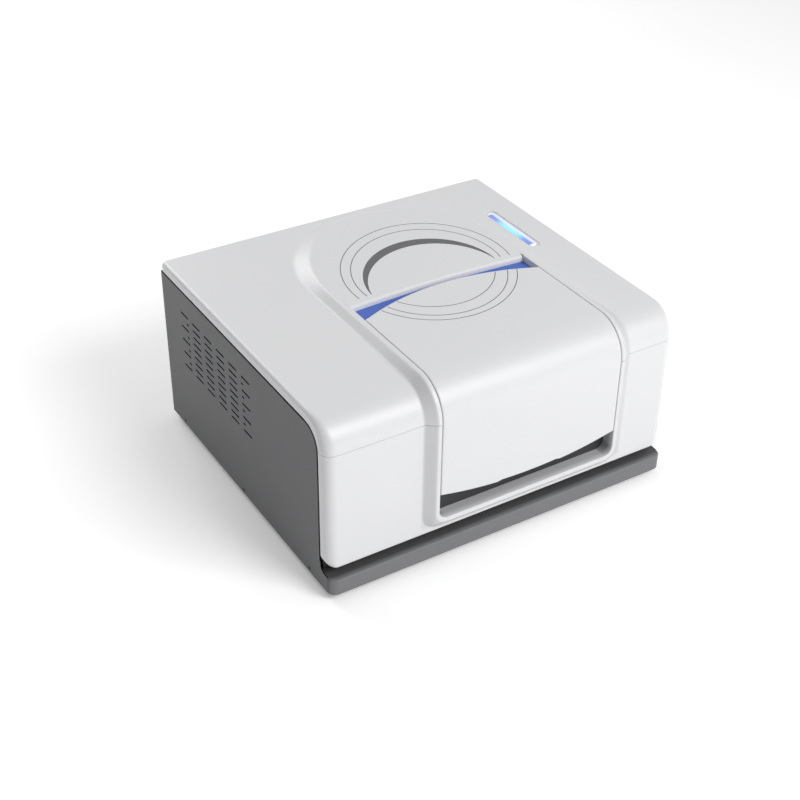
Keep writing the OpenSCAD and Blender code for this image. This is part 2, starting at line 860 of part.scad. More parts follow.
module grating_table() {
    color(STEEL) translate([grating_x, grating_y, 0]) {
        translate([0, 0, bench_z - 6]) cylinder(h = bench_t + 9, r = 3);
        translate([0, 0, deck_z + 3 - eps]) cylinder(h = 6, r = 18);
        translate([0, 0, deck_z + 9 - 2 * eps]) rotate([0, 0, 8]) linear_extrude(62) square([9, 30], center = true);
    }
}

module grating_motor() {
    color(DARK) motor_can(grating_x, grating_y, 42, 34);
}

module flat_mirror(x, y, turn) {
    translate([x, y, 0]) rotate([0, 0, turn]) {
        block(-2, 2, -16, 16, deck_z, beam_z + 16);
        block(-9, 9, -16, 16, deck_z, deck_z + 4);
    }
}

module fold_mirrors() {
    color(STEEL) {
        flat_mirror(130, return_y + 8, 40);
        flat_mirror(turn_x, return_y, -45);
    }
}

module beam_splitter() {
    color(GLASS) flat_mirror(turn_x, beam_y, 45);
}

module detector(x, y, turn) {
    translate([x, y, 0]) rotate([0, 0, turn]) difference() {
        union() {
            block(0, 5, -16, 16, deck_z, beam_z + 16);
            rod_x(-8, eps, 0, beam_z, 11);
            block(-6, 14, -16, 16, deck_z, deck_z + 4);
        }
        rod_x(-9, -3, 0, beam_z, 7);
    }
}

module sample_detector() {
    color(DARK) detector(178, beam_y, 0);
}

module reference_detector() {
    color(DARK) detector(turn_x, -146, -90);
}

// ---------------------------------------------------------------- electronics

module main_board() {
    color(BOARD) difference() {
        union() {
            block(-182, 30, 2, 140, 20, 21.6);
            for (x = [-176, 24], y = [8, 134]) translate([x, y, base_z + 2]) cylinder(h = 10 + eps, r = 3.5);
            block(-140, -112, 40, 68, 21.6 - eps, 24);
            block(-90, -70, 90, 124, 21.6 - eps, 23.4);
            block(-40, -4, 20, 46, 21.6 - eps, 32);
            for (i = [0:3]) translate([-30 + 12 * i, 110, 21.6 - eps]) cylinder(h = 18, r = 5);
        }
        for (x = [-176, 24], y = [8, 134]) translate([x, y, 12]) cylinder(h = 30, r = 1.6);
    }
}

module power_supply() {
    color(STEEL) difference() {
        block(92, 186, 20, 148, base_z + 4, base_z + 46);
        block(93.5, 184.5, 21.5, 146.5, base_z + 5.5, base_z + 44.5);
        for (i = [0:8]) block(100, 178, 34 + 12 * i, 38 + 12 * i, base_z + 40, base_z + 50);
    }
    color(STEEL) for (x = [100, 178], y = [28, 140]) translate([x, y, base_z + 2]) cylinder(h = 2 + eps, r = 4);
}

module fan_frame() {
    y0 = rear_y - 25;
    h = fan_size / 2;
    color(DARK) difference() {
        block(fan_x - h, fan_x + h, y0, rear_y, fan_z - h, fan_z + h);
        difference() {
            rod_y(fan_x, y0 - 1, rear_y + 1, fan_z, 38);
            rod_y(fan_x, y0, y0 + 3, fan_z, 16);
            translate([fan_x, 0, fan_z]) for (a = [0, 90, 180, 270]) rotate([0, a + 45, 0])
                block(14, 39, y0, y0 + 3, -2, 2);
        }
        fan_screw_places() rod_y(0, y0 - 1, rear_y + 1, 0, 1.7);
        rod_y(fan_x, y0 - 1, y0 + 5, fan_z, 2.05);
    }
}

module fan_rotor() {
    y0 = rear_y - 25;
    color(DARK) {
        rod_y(fan_x, y0 + 4, rear_y - 4, fan_z, 15);
        rod_y(fan_x, y0 + 0.5, y0 + 5, fan_z, 2);
        for (i = [0:6]) translate([fan_x, 0, fan_z]) rotate([0, i * 360 / 7, 0])
            translate([25, y0 + 13, 0]) rotate([38, 0, 0]) translate([-11.5, -1, -11]) cube([22, 2, 22]);
    }
}

module fan_guard() {
    color(STEEL) difference() {
        union() {
            for (r = [12, 20, 28, 36]) difference() {
                rod_y(fan_x, y_half, y_half + 1.2, fan_z, r + 0.9);
                rod_y(fan_x, y_half - 1, y_half + 2, fan_z, r - 0.9);
            }
            for (a = [-1, 1]) translate([fan_x, 0, fan_z]) rotate([0, 45 * a, 0])
                block(-52, 52, y_half, y_half + 1.2, -2, 2);
            fan_screw_places() rod_y(0, y_half, y_half + 1.2, 0, 4.2);
        }
        fan_screw_places() rod_y(0, y_half - 1, y_half + 2, 0, 1.7);
    }
}

module power_inlet() {
    color(DARK) translate([inlet_x, 0, port_z]) {
        difference() {
            union() {
                block(-25, 25, y_half, y_half + 2, -12, 12);
                block(-13.6, 13.6, y_half - 19, y_half + eps, -10, 10);
            }
            block(-12.2, 12.2, y_half - 16, y_half + 3, -8.2, 8.2);
            for (s = [-1, 1]) rod_y(20 * s, y_half - 1, y_half + 3, 0, 1.7);
        }
        for (p = [[-7, -3.4], [7, -3.4], [0, 3.4]]) translate([p[0], 0, p[1]])
            block(-1, 1, y_half - 16 - eps, y_half - 2, -2, 2);
    }
}

module switch_frame() {
    color(DARK) translate([switch_x, 0, port_z]) difference() {
        union() {
            block(-12, 12, y_half, y_half + 1.2, -15.5, 15.5);
            block(-10, 10, y_half - 16, y_half + eps, -13.5, 13.5);
        }
        block(-7.5, 7.5, y_half - 14, y_half + 3, -11, 11);
        rod_x(-10.5, 10.5, y_half - 6.5, 0, 1.5 + fit);
    }
}

// Rocker on its own pivot pins, lower half pressed in at rest
module power_rocker() {
    color(DARK) translate([switch_x, y_half - 6.5, port_z]) rotate([-6, 0, 0]) {
        along_x(-7.1, 7.1) polygon([[-5, -6], [-2, -9.4], [7.4, -9.4], [5.6, 0], [7.4, 9.4], [-2, 9.4], [-5, 6]]);
        rod_x(-9.5, 9.5, 0, 0, 1.5);
    }
}

module usb_port() {
    color(STEEL) translate([usb_x, 0, port_z]) difference() {
        union() {
            block(-8, 8, y_half, y_half + 0.8, -7.5, 7.5);
            block(-6, 6, y_half - 16, y_half + eps, -5.5, 5.5);
        }
        difference() {
            block(-4.4, 4.4, y_half - 12, y_half + 2, -4.4, 4.4);
            block(-2.8, 2.8, y_half - 13, y_half - 2, 1.2, 3.4);
        }
    }
}

// ---------------------------------------------------------------- nodes

base_tray();
left_side_panel();
right_side_panel();
rear_panel();
corner_posts();
top_cover();
front_cover();
crescent_inlay();
blue_trim_strip();
sill_panel();
light_lens();
led_board();
rubber_feet();
side_screws();
rear_screws();
sample_lid();
lid_liner();
lid_arms();
hinge_pin();
hinge_brackets();
lid_bumpers();
compartment_tub();
compartment_seal();
beam_lenses();
cuvette_carriage();
cuvettes();
guide_rods();
lead_screw();
screw_bearing();
carriage_motor();
optical_bench();
bench_standoffs();
lamp_house();
deuterium_lamp();
halogen_lamp();
source_mirror();
mirror_motor();
filter_wheel();
filter_glasses();
filter_motor();
entrance_slit();
collimating_mirror();
grating_table();
grating_motor();
focusing_mirror();
exit_slit();
fold_mirrors();
beam_splitter();
sample_detector();
reference_detector();
main_board();
power_supply();
fan_frame();
fan_rotor();
fan_guard();
power_inlet();
switch_frame();
power_rocker();
usb_port();
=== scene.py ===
import json
import math

import bmesh
import bpy
from mathutils import Matrix, Vector


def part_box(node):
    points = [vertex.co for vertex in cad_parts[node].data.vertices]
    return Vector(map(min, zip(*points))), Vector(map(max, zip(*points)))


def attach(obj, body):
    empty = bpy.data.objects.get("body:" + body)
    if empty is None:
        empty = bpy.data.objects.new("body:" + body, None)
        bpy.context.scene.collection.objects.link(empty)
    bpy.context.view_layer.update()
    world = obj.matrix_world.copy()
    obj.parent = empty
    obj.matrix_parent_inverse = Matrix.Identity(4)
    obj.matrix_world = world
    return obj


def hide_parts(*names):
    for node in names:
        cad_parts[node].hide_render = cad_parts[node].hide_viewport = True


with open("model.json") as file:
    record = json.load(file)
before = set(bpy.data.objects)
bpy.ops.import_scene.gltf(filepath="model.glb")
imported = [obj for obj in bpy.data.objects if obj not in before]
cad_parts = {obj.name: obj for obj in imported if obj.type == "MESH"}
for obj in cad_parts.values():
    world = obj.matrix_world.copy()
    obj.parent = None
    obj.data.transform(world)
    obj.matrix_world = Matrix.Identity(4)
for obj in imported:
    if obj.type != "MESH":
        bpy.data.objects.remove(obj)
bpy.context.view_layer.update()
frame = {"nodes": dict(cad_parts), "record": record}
bpy.context.scene.view_settings.view_transform = "Standard"

MM = 0.001

# ------------------------------------------------------------ main planes, in millimetres


def box_mm(node):
    low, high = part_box(node)
    return low / MM, high / MM


cover_high = box_mm("top_cover")[1]
front_low, front_high = box_mm("front_cover")
panel_low, panel_high = box_mm("left_side_panel")

HALF_W = cover_high.x
REAR_Y = cover_high.y
ARCH_RISE = 8.5
PROUD = 0.04  # of the thin lines above the arch
TOP_Z = cover_high.z - ARCH_RISE - PROUD
FRONT_Y = front_low.y + ARCH_RISE + PROUD
FRONT_Z = front_low.z
SEAM_Z = front_high.z
SEAM_GAP = 0.5
BEND_R = TOP_Z - SEAM_Z
BEND_Y = FRONT_Y + BEND_R
SHADOW_GAP = 1.5
BAND_Z = panel_high.z + SHADOW_GAP
PANEL_Y = -179.0
SHADOW_W = 2.2  # width of the painted shade, a dark rim below the shadow gap
BAND_Y = PANEL_Y - SHADOW_GAP
BAND_R = 27.0
WALL = 1.5
PANEL_T, PLINTH_H = 1.6, 20.5

# The covers are modelled flat and then wrapped: x stays, s runs from the rear edge
# over the top, round the bend and down the front, d is the height above the surface
FLAT_END = REAR_Y - BEND_Y
BEND_END = FLAT_END + BEND_R * math.pi / 2
SKIN_END = BEND_END + SEAM_Z - FRONT_Z
SEAM_S = BEND_END

REAR_CORNER = 7.0
# the arch about ARCH_X: its foot, its crest and the lid opening, with their lower ends
ARCH_X = 26.0
FOOT_HW, FOOT_CENTRE_S = 135.5, REAR_Y - 61.0
CREST_HW, CREST_LONG, CREST_CENTRE_S = 122.0, 149.6, REAR_Y - 20.0
FOOT_END, FOOT_CORNER = SKIN_END - 5.0, 22.0
CREST_END, CREST_CORNER = SKIN_END - 16.0, 15.0
OPEN_HW, OPEN_END, OPEN_CORNER = 117.6, SKIN_END - 21.0, 11.0
OPEN_Z = FRONT_Z + 21.0
# the deck's bowed front edge and its roll, and the rim round the rest of the opening
DECK_Y, DECK_R, ROLL_R = -9.0, 1348.0, 7.0
RIM_R = 1.2
RECESS_DEPTH = 8.5
LID_HW, LID_BACK_Y, LID_BACK_R = 116.8, -20.0, 272.0
LID_LOW_Z, LID_LOW_R = 80.5, 524.0
LID_T, LID_EDGE_R, LID_FLANGE, LID_SIDE_DROP = 3.5, 1.3, 1.8, 9.0
LID_NEAR = 0.25  # slack in telling which edge of the lid a point is on
LIGHT_X, LIGHT_S = 181.0, REAR_Y - 61.5
POCKET_HALF, BAR_HALF, POCKET_R = 46.0, 43.2, 8.0
# radius and level of each row, from the flat top down into the slot round the light
POCKET_STEPS = (
    (9.5, 0.0),
    (POCKET_R, 0.0),
    (7.9, -0.06),
    (7.72, -0.22),
    (7.6, -0.5),
    (7.5, -1.3),
    (7.3, -1.6),
    (5.6, -1.6),
    (5.35, -1.7),
    (5.3, -2.0),
    (5.3, -3.2),
)
OVAL_TILT, OVAL_RATIO = math.radians(-22.6), 1.116  # of the grooves and the crescent


def clamp(v):
    return max(0.0, min(1.0, v))


def ease(v):
    v = clamp(v)
    return v * v * (3 - 2 * v)


def mix(a, b, t):
    return a + (b - a) * t


def wrap(x, s, d):
    """A place on the flat sheet, bent over the front of the case, in metres."""
    if s <= FLAT_END:
        y, z = REAR_Y - s, TOP_Z + d
    elif s <= BEND_END:
        a = (s - FLAT_END) / BEND_R
        y = BEND_Y - (BEND_R + d) * math.sin(a)
        z = SEAM_Z + (BEND_R + d) * math.cos(a)
    else:
        y, z = FRONT_Y - d, SEAM_Z - (s - BEND_END)
    return Vector((x, y, z)) * MM


def deck_edge(x):
    """s of the wall under the deck's round front edge."""
    return REAR_Y - (DECK_Y - DECK_R + math.sqrt(DECK_R**2 - (x - ARCH_X) ** 2))


def lid_rear(x):
    return REAR_Y - (LID_BACK_Y - LID_BACK_R + math.sqrt(LID_BACK_R**2 - (x - ARCH_X) ** 2))


def lid_front(x):
    """s of the lid's lower edge, a shade higher across the finger notch."""
    z = LID_LOW_Z + LID_LOW_R - math.sqrt(LID_LOW_R**2 - (x - ARCH_X) ** 2)
    notch = 1.7 * ease((41 - abs(x - ARCH_X)) / 3.5)
    return BEND_END + SEAM_Z - z - notch


# ------------------------------------------------------------ mesh helpers


def face_out(bm):
    """Turns an open sheet so that its largest faces point up or forward."""
    bm.normal_update()
    lean = sum((f.normal.z - f.normal.y) * f.calc_area() for f in bm.faces)
    if lean < 0:
        bmesh.ops.reverse_faces(bm, faces=bm.faces)


def finish_piece(bm, name, body, slot, nodes=(), sharp=32):
    """Makes the object, in metres and at the origin, and puts it on its body."""
    bmesh.ops.remove_doubles(bm, verts=bm.verts, dist=0.002 * MM)
    bmesh.ops.recalc_face_normals(bm, faces=bm.faces)
    if any(e.is_boundary for e in bm.edges):
        face_out(bm)
    for f in bm.faces:
        f.smooth = True
    for e in bm.edges:
        e.smooth = len(e.link_faces) == 2 and e.calc_face_angle(0) < math.radians(sharp)
    mesh = bpy.data.meshes.new(name)
    bm.to_mesh(mesh)
    bm.free()
    piece = bpy.data.objects.new(name, mesh)
    bpy.context.scene.collection.objects.link(piece)
    piece.data.materials.append(materials[slot])
    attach(piece, body)
    if nodes:
        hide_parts(*nodes)
    return piece


def give_wall(piece, thickness):
    wall = piece.modifiers.new("wall", "SOLIDIFY")
    wall.thickness = thickness * MM
    wall.offset = -1
    return piece


def wrap_mesh(bm):
    for v in bm.verts:
        v.co = wrap(v.co.x, v.co.y, v.co.z)


def scale_mesh(bm):
    bmesh.ops.scale(bm, vec=(MM, MM, MM), verts=bm.verts)


def next_row(bm, edges):
    """Extrudes a closed row of edges; the new points still lie on the old ones."""
    made = bmesh.ops.extrude_edge_only(bm, edges=edges)["geom"]
    new_edges = [g for g in made if isinstance(g, bmesh.types.BMEdge)]
    return new_edges, [g for g in made if isinstance(g, bmesh.types.BMVert)]


def close_ends(bm, levels):
    """Caps a band's open rings, each of which lies at one of the levels."""
    for level in levels:
        ring = [e for e in bm.edges if e.is_boundary and abs(e.verts[0].co.z - level) < 1e-3]
        bmesh.ops.contextual_create(bm, geom=ring)


def sheet_of_rows(rows):
    """A closed band: each row is a ring of places, and follows the one before it."""
    bm = bmesh.new()
    count = len(rows[0])
    index = bm.verts.layers.int.new("column")
    order = bm.verts.layers.int.new("row")
    ring = bmesh.ops.create_circle(bm, segments=count, radius=1)["verts"]
    for i, v in enumerate(ring):
        v[index] = i
        v.co = rows[0][i]
    edges = list(bm.edges)
    for number, row in enumerate(rows[1:], 1):
        edges, verts = next_row(bm, edges)
        for v in verts:
            v.co, v[order] = row[v[index]], number
    return bm


# ------------------------------------------------------------ the covers

CORNER_FROM = 530.0  # s at which a side line heads for its lower corner
SIDE_FROM = 230.0  # s from which the opening's side is straight
FLAT_ROWS = (11, 13)  # rows that lie on the flat top between the edge and the arch
BEYOND, HALVINGS = 420.0, 40  # for the search of the covers' edge along a ray
FOOT_ROUND = 13.0  # radius of the covers' lower corners, seen from the front


class Column:
    """One line across the cover, from its outer edge to the lid opening."""

    def __init__(self, zone, t, side):
        self.zone, self.t, self.side = zone, t, side


def half_columns(side):
    """Columns from the middle of the rear edge round to the middle of the lower edge."""
    corner = math.degrees(
        math.atan2(HALF_W - REAR_CORNER / 2 - side * ARCH_X, FOOT_CENTRE_S - REAR_CORNER / 2)
    )
    angles = sorted(
        [2.5 * i for i in range(37)] + [corner + 0.45 * k for k in range(-4, 5)]
    )
    side_s = [FOOT_CENTRE_S + 4 * i for i in range(1, 54)]
    side_s = [s for s in side_s if s < FLAT_END - 4]
    side_s += [mix(FLAT_END, BEND_END, i / 18) for i in range(19)]
    side_s += [mix(BEND_END, CORNER_FROM, i / 12) for i in range(1, 13)]
    cols = [Column("rear", a, side) for a in angles]
    cols += [Column("side", s, side) for s in side_s]
    cols += [Column("corner", t, side) for t in [-0.66, -0.33] + [i / 12 for i in range(13)]]
    cols += [Column("base", i / 20, side) for i in range(1, 21)]
    return cols


COLUMNS = half_columns(1) + half_columns(-1)[::-1][1:-1]


def lower_corner(col, hw, end, radius, centre_x):
    """Side wall, round corner and lower edge, the same for every outline."""
    if col.zone == "corner":
        start = end - radius
        if col.t < 0:
            return centre_x + col.side * hw, mix(CORNER_FROM, start, 1 + col.t)
        a = col.t * math.pi / 2
        x = centre_x + col.side * (hw - radius + radius * math.cos(a))
        return x, start + radius * math.sin(a)
    far = centre_x + col.side * (hw - radius)
    return mix(far, ARCH_X, col.t), end


def outer_line(col, inset):
    """Outer edge of the covers, moved inwards by inset."""
    hw, radius = HALF_W - inset, FOOT_ROUND - inset
    if col.zone == "rear":
        a = math.radians(col.t)
        dx, ds = col.side * math.sin(a), -math.cos(a)
        corner = max(REAR_CORNER - inset, 0.05)

        def outside(p):
            x, s = ARCH_X + dx * p, FOOT_CENTRE_S + ds * p
            qx, qs = abs(x) - (hw - corner), inset + corner - s
            return math.hypot(max(qx, 0), max(qs, 0)) + min(max(qx, qs), 0) - corner

        near, far = 0.0, BEYOND
        for _ in range(HALVINGS):
            half = (near + far) / 2
            near, far = (half, far) if outside(half) < 0 else (near, half)
        return ARCH_X + dx * near, FOOT_CENTRE_S + ds * near
    if col.zone == "side":
        return col.side * hw, col.t
    return lower_corner(col, hw, SKIN_END - inset, radius, 0.0)


def foot_line(col, grow=0.0):
    """Where the arch rises from the cover."""
    hw = FOOT_HW + grow
    if col.zone == "rear":
        a = math.radians(col.t)
        return ARCH_X + col.side * hw * math.sin(a), FOOT_CENTRE_S - hw * math.cos(a)
    if col.zone == "side":
        return ARCH_X + col.side * hw, col.t
    return lower_corner(col, hw, FOOT_END + grow, FOOT_CORNER + grow, ARCH_X)


def crest_line(col, grow=0.0):
    """Where the arch reaches its full height."""
    hw, long = CREST_HW + grow, CREST_LONG + grow
    if col.zone == "rear":
        a = math.radians(col.t)
        back = CREST_CENTRE_S - FOOT_CENTRE_S
        qa = (math.sin(a) / hw) ** 2 + (math.cos(a) / long) ** 2
        qb = 2 * back * math.cos(a) / long**2
        qc = (back / long) ** 2 - 1
        p = (-qb + math.sqrt(qb * qb - 4 * qa * qc)) / (2 * qa)
        return ARCH_X + col.side * p * math.sin(a), FOOT_CENTRE_S - p * math.cos(a)
    if col.zone == "side":
        lag = max(CREST_CENTRE_S - col.t, 0) / long
        return ARCH_X + col.side * hw * math.sqrt(1 - lag * lag), col.t
    return lower_corner(col, hw, CREST_END + grow, CREST_CORNER + grow, ARCH_X)




def opening_line(col, turn):
    """Edge of the lid opening at a turn from 0, level with the arch, to 1, upright."""
    away = 1 - math.sin(turn * math.pi / 2)
    rim, roll = RIM_R * away, ROLL_R * away
    drop = 1 - math.cos(turn * math.pi / 2)
    if col.zone == "rear":
        x = ARCH_X + col.side * (OPEN_HW + rim) * col.t / 90
        return x, deck_edge(x) - roll, ARCH_RISE - ROLL_R * drop
    low = ARCH_RISE - RIM_R * drop
    if col.zone == "side":
        x = ARCH_X + col.side * (OPEN_HW + rim)
        if col.t >= SIDE_FROM:
            return x, col.t, low
        corner = deck_edge(x) + 0.6
        first = FOOT_CENTRE_S + 4
        return x, mix(corner, SIDE_FROM, (col.t - first) / (SIDE_FROM - first)), low
    grow = OPEN_HW + rim
    x, s = lower_corner(col, grow, OPEN_END + rim, OPEN_CORNER + rim, ARCH_X)
    return x, s, low


def edge_radius(col, s):
    """The outer edge is tight on the top and soft down the front."""
    if col.zone == "base":
        return 3.0
    if col.zone == "corner" and col.t > 0:
        return mix(12.0, 3.0, ease(col.t))
    return mix(5.0, 12.0, ease((s - FLAT_END + 10) / (BEND_END - FLAT_END)))


def band_depth(s):
    """How far the cover's side band reaches in below its outer surface."""
    if s >= SKIN_END - 60 or s > BEND_END + (SEAM_Z - BAND_Z + BAND_R):
        return FRONT_Y - BAND_Y
    cy, cz = BAND_Y + BAND_R, BAND_Z - BAND_R
    a = clamp((s - FLAT_END) / (BEND_END - FLAT_END)) * math.pi / 2
    start = wrap(0, s, 0) / MM
    inward = Vector((math.sin(a), -math.cos(a)))
    if start.y > cy:
        return BAND_Z - TOP_Z
    gap = Vector((start.y - cy, start.z - cz))
    b = gap.dot(inward)
    c = gap.dot(gap) - BAND_R**2
    return -(-b - math.sqrt(max(b * b - c, 0)))


def slope_height(t, soft):
    """Rise of the arch's flank with a hollow at its foot and a soft shoulder."""
    hollow, shoulder = 0.28 * soft, 0.2 * soft
    full = 1 - hollow / 2 - shoulder / 2
    if t < hollow:
        return t * t / (2 * hollow) / full
    if t < 1 - shoulder:
        return (t - hollow / 2) / full
    left_over = 1 - t
    return 1 - left_over * left_over / (2 * shoulder) / full


def cover_rows():
    rows = []

    def add(place):
        rows.append([Vector(place(c)) for c in COLUMNS])

    def outer(col, inset_share, depth_share):
        s = outer_line(col, 0)[1]
        r = edge_radius(col, s)
        x, s1 = outer_line(col, r * inset_share)
        return x, s1, -r * depth_share

    def band(col, share):
        x, s = outer_line(col, 0)
        r = edge_radius(col, s)
        return x, s, mix(-r, band_depth(s), share)

    add(lambda c: band(c, 1.0))
    add(lambda c: band(c, 0.5))
    for i in range(8):
        a = i / 7 * math.pi / 2
        add(lambda c, a=a: outer(c, 1 - math.cos(a), 1 - math.sin(a)))

    def flat(c, share):
        s = outer_line(c, 0)[1]
        x0, s0 = outer_line(c, edge_radius(c, s) + 0.6)
        x1, s1 = foot_line(c, 1.0)
        return mix(x0, x1, share), mix(s0, s1, share), 0.0

    for share in (0.0, 0.33, 0.67, 1.0):
        add(lambda c, share=share: flat(c, share))

    def flank(c, t):
        x0, s0 = foot_line(c)
        x1, s1 = crest_line(c)
        soft = mix(1.0, 0.3, ease((s0 - FLAT_END + 10) / 60))
        return mix(x0, x1, t), mix(s0, s1, t), ARCH_RISE * slope_height(t, soft)

    steps = (0, 0.05, 0.1, 0.16, 0.22, 0.28, 0.4, 0.55, 0.7, 0.8, 0.85, 0.9, 0.95, 1.0)
    for t in steps:
        add(lambda c, t=t: flank(c, t))

    def deck(c, share):
        x0, s0 = crest_line(c, -0.5)
        x1, s1, _ = opening_line(c, 0)
        return mix(x0, x1, share), mix(s0, s1, share), ARCH_RISE

    for share in (0.0, 0.3, 0.6, 0.85, 0.97):
        add(lambda c, share=share: deck(c, share))
    for i in range(9):
        add(lambda c, i=i: opening_line(c, i / 8))

    def wall(c):
        x, s, _ = opening_line(c, 1)
        return x, s, (-1.2 if c.zone == "rear" else -RECESS_DEPTH)

    add(wall)
    return rows


def pill_ring(half, radius, d, count=64):
    """Round-ended ring along s about the status light."""
    ring = []
    for i in range(count):
        a = 2 * math.pi * (i + 0.5) / count
        x, s = radius * math.cos(a), radius * math.sin(a)
        ring.append(Vector((LIGHT_X + x, LIGHT_S + s + math.copysign(half, s), d)))
    return ring


def cut_light_pocket(bm):
    """Opens the flat top beside the arch and lets the light's shallow pocket in."""
    near = {
        i
        for i, c in enumerate(COLUMNS)
        if c.side == 1
        and ((c.zone == "rear" and c.t > 62) or (c.zone == "side" and c.t < LIGHT_S + 70))
    }
    column, order = bm.verts.layers.int["column"], bm.verts.layers.int["row"]
    gone = [
        f
        for f in bm.faces
        if all(v[column] in near and FLAT_ROWS[0] <= v[order] <= FLAT_ROWS[1] for v in f.verts)
    ]
    inside = set(gone)
    edges = [e for e in bm.edges if 0 < sum(f in inside for f in e.link_faces) < 2]
    bmesh.ops.delete(bm, geom=gone, context="FACES")
    made = bmesh.ops.subdivide_edges(bm, edges=edges, cuts=6)["geom_inner"]
    reach, found = [g for g in made if isinstance(g, bmesh.types.BMVert)], set()
    while reach:
        for e in reach.pop().link_edges:
            if e.is_boundary and e not in found:
                found.add(e)
                reach += e.verts
    edges = [e for e in bm.edges if e in found]
    half = POCKET_HALF
    for radius, d in POCKET_STEPS:
        edges, verts = next_row(bm, edges)
        share = clamp((POCKET_R - radius) / (POCKET_R - POCKET_STEPS[-1][0]))
        new_half = mix(POCKET_HALF, BAR_HALF, share)
        for v in verts:
            along = max(-half, min(half, v.co.y - LIGHT_S))
            out = Vector((v.co.x - LIGHT_X, v.co.y - LIGHT_S - along)).normalized() * radius
            v.co = (LIGHT_X + out.x, LIGHT_S + along * new_half / half + out.y, d)
        half = new_half


def make_covers():
    bm = sheet_of_rows(cover_rows())
    cut_light_pocket(bm)
    bmesh.ops.remove_doubles(bm, verts=bm.verts, dist=0.002)
    for name, node, keep_above in (
        ("top_shell", "top_cover", True),
        ("front_shell", "front_cover", False),
    ):
        part = bm.copy()
        edge = SEAM_S - SEAM_GAP if keep_above else SEAM_S
        bmesh.ops.bisect_plane(
            part,
            geom=part.verts[:] + part.edges[:] + part.faces[:],
            plane_co=(0, edge, 0),
            plane_no=(0, 1, 0),
            clear_outer=keep_above,
            clear_inner=not keep_above,
        )
        wrap_mesh(part)
        give_wall(finish_piece(part, name, "case", "white_shell", [node]), WALL)
    bm.free()


# ------------------------------------------------------------ the lid


def lid_slab(inset, d, bm):
    """A grid over the lid's outline, inset by that much, at one height."""
    across, along = 44, 110
    made = bmesh.ops.create_grid(bm, x_segments=across, y_segments=along, size=1)["verts"]
    for v in made:
        u, w = (v.co.x + 1) / 2, (v.co.y + 1) / 2
        x = mix(ARCH_X - LID_HW + inset, ARCH_X + LID_HW - inset, u)
        v.co = (x, mix(lid_rear(x) + inset, lid_front(x) - inset, w), d)
    return made


def outward(co, inset):
    """Which way is out of the lid at a point of the inset outline."""
    out = Vector((0, 0, 0))
    if abs(co.x - (ARCH_X - LID_HW + inset)) < LID_NEAR:
        out.x = -1
    if abs(co.x - (ARCH_X + LID_HW - inset)) < LID_NEAR:
        out.x = 1
    if abs(co.y - lid_rear(co.x) - inset) < LID_NEAR:
        out.y = -1
    if abs(co.y - lid_front(co.x) + inset) < LID_NEAR:
        out.y = 1
    return out


def flange_level(way, s):
    """The side flanges start clear of the hinge floor and end above the recess."""
    if abs(way[0]) < 0.5:
        return -LID_T
    level = mix(-LID_T, -LID_SIDE_DROP, ease((s - (REAR_Y + 52)) / 6))
    return mix(level, -LID_T, ease((s - (OPEN_END - 62)) / 10))


def make_lid():
    bm = bmesh.new()
    way = bm.verts.layers.float_vector.new("way")
    start = bm.verts.layers.float_vector.new("start")
    lid_slab(LID_EDGE_R, ARCH_RISE, bm)
    edges = [e for e in bm.edges if e.is_boundary]
    for e in edges:
        for v in e.verts:
            v[way] = outward(v.co, LID_EDGE_R)
            v[start] = v.co.copy()
    # each row's reach outwards from the inset outline, and its level below the top;
    # no level means that the row is the flange's lower edge
    turns = [math.radians(a) for a in (18, 36, 54, 72, 90)]
    rows = [(LID_EDGE_R * math.sin(a), LID_EDGE_R * (math.cos(a) - 1)) for a in turns]
    lip = LID_EDGE_R - LID_FLANGE
    rows += [(LID_EDGE_R, None), (lip, None), (lip, -LID_T)]
    for out, level in rows:
        edges, verts = next_row(bm, edges)
        for v in verts:
            drop = flange_level(v[way], v[start][1]) if level is None else level
            v.co = Vector(v[start]) + Vector(v[way]) * out + Vector((0, 0, drop))
    lid_slab(LID_FLANGE, ARCH_RISE - LID_T, bm)
    bmesh.ops.remove_doubles(bm, verts=bm.verts, dist=0.05)
    wrap_mesh(bm)
    finish_piece(bm, "lid_shell", "lid", "white_shell", ["sample_lid"])


# ------------------------------------------------------------ thin lines and the crescent


def oval_point(cx, cy, a, t):
    b = a * OVAL_RATIO
    c, s = math.cos(OVAL_TILT), math.sin(OVAL_TILT)
    x = cx + a * math.cos(t) * c - b * math.sin(t) * s
    y = cy + a * math.cos(t) * s + b * math.sin(t) * c
    return Vector((x, REAR_Y - y, 0))


def ribbon(bm, inner, outer, top, thick):
    """A thin flat strip between two lines of points, closed all round."""
    side = bm.verts.layers.int.get("side") or bm.verts.layers.int.new("side")
    a = bm.verts.new((inner[0].x, inner[0].y, top))
    b = bm.verts.new((outer[0].x, outer[0].y, top))
    a[side], b[side] = 0, 1
    edge = bm.edges.new((a, b))
    faces = []
    for p, q in zip(inner[1:], outer[1:]):
        made = bmesh.ops.extrude_edge_only(bm, edges=[edge])["geom"]
        for g in made:
            if isinstance(g, bmesh.types.BMVert):
                at = q if g[side] else p
                g.co = (at.x, at.y, top)
            elif isinstance(g, bmesh.types.BMEdge):
                edge = g
            else:
                faces.append(g)
    lower = bmesh.ops.extrude_face_region(bm, geom=faces, use_keep_orig=True)["geom"]
    bmesh.ops.translate(
        bm, vec=(0, 0, -thick), verts=[g for g in lower if isinstance(g, bmesh.types.BMVert)]
    )
    loose = [v for v in bm.verts if not v.link_faces]
    bmesh.ops.delete(bm, geom=loose, context="VERTS")


GROOVES = ((29.2, 14.2, 102.1), (28.1, 11.6, 90.6), (28.8, 16.5, 78.3))
LINE_W = 0.95


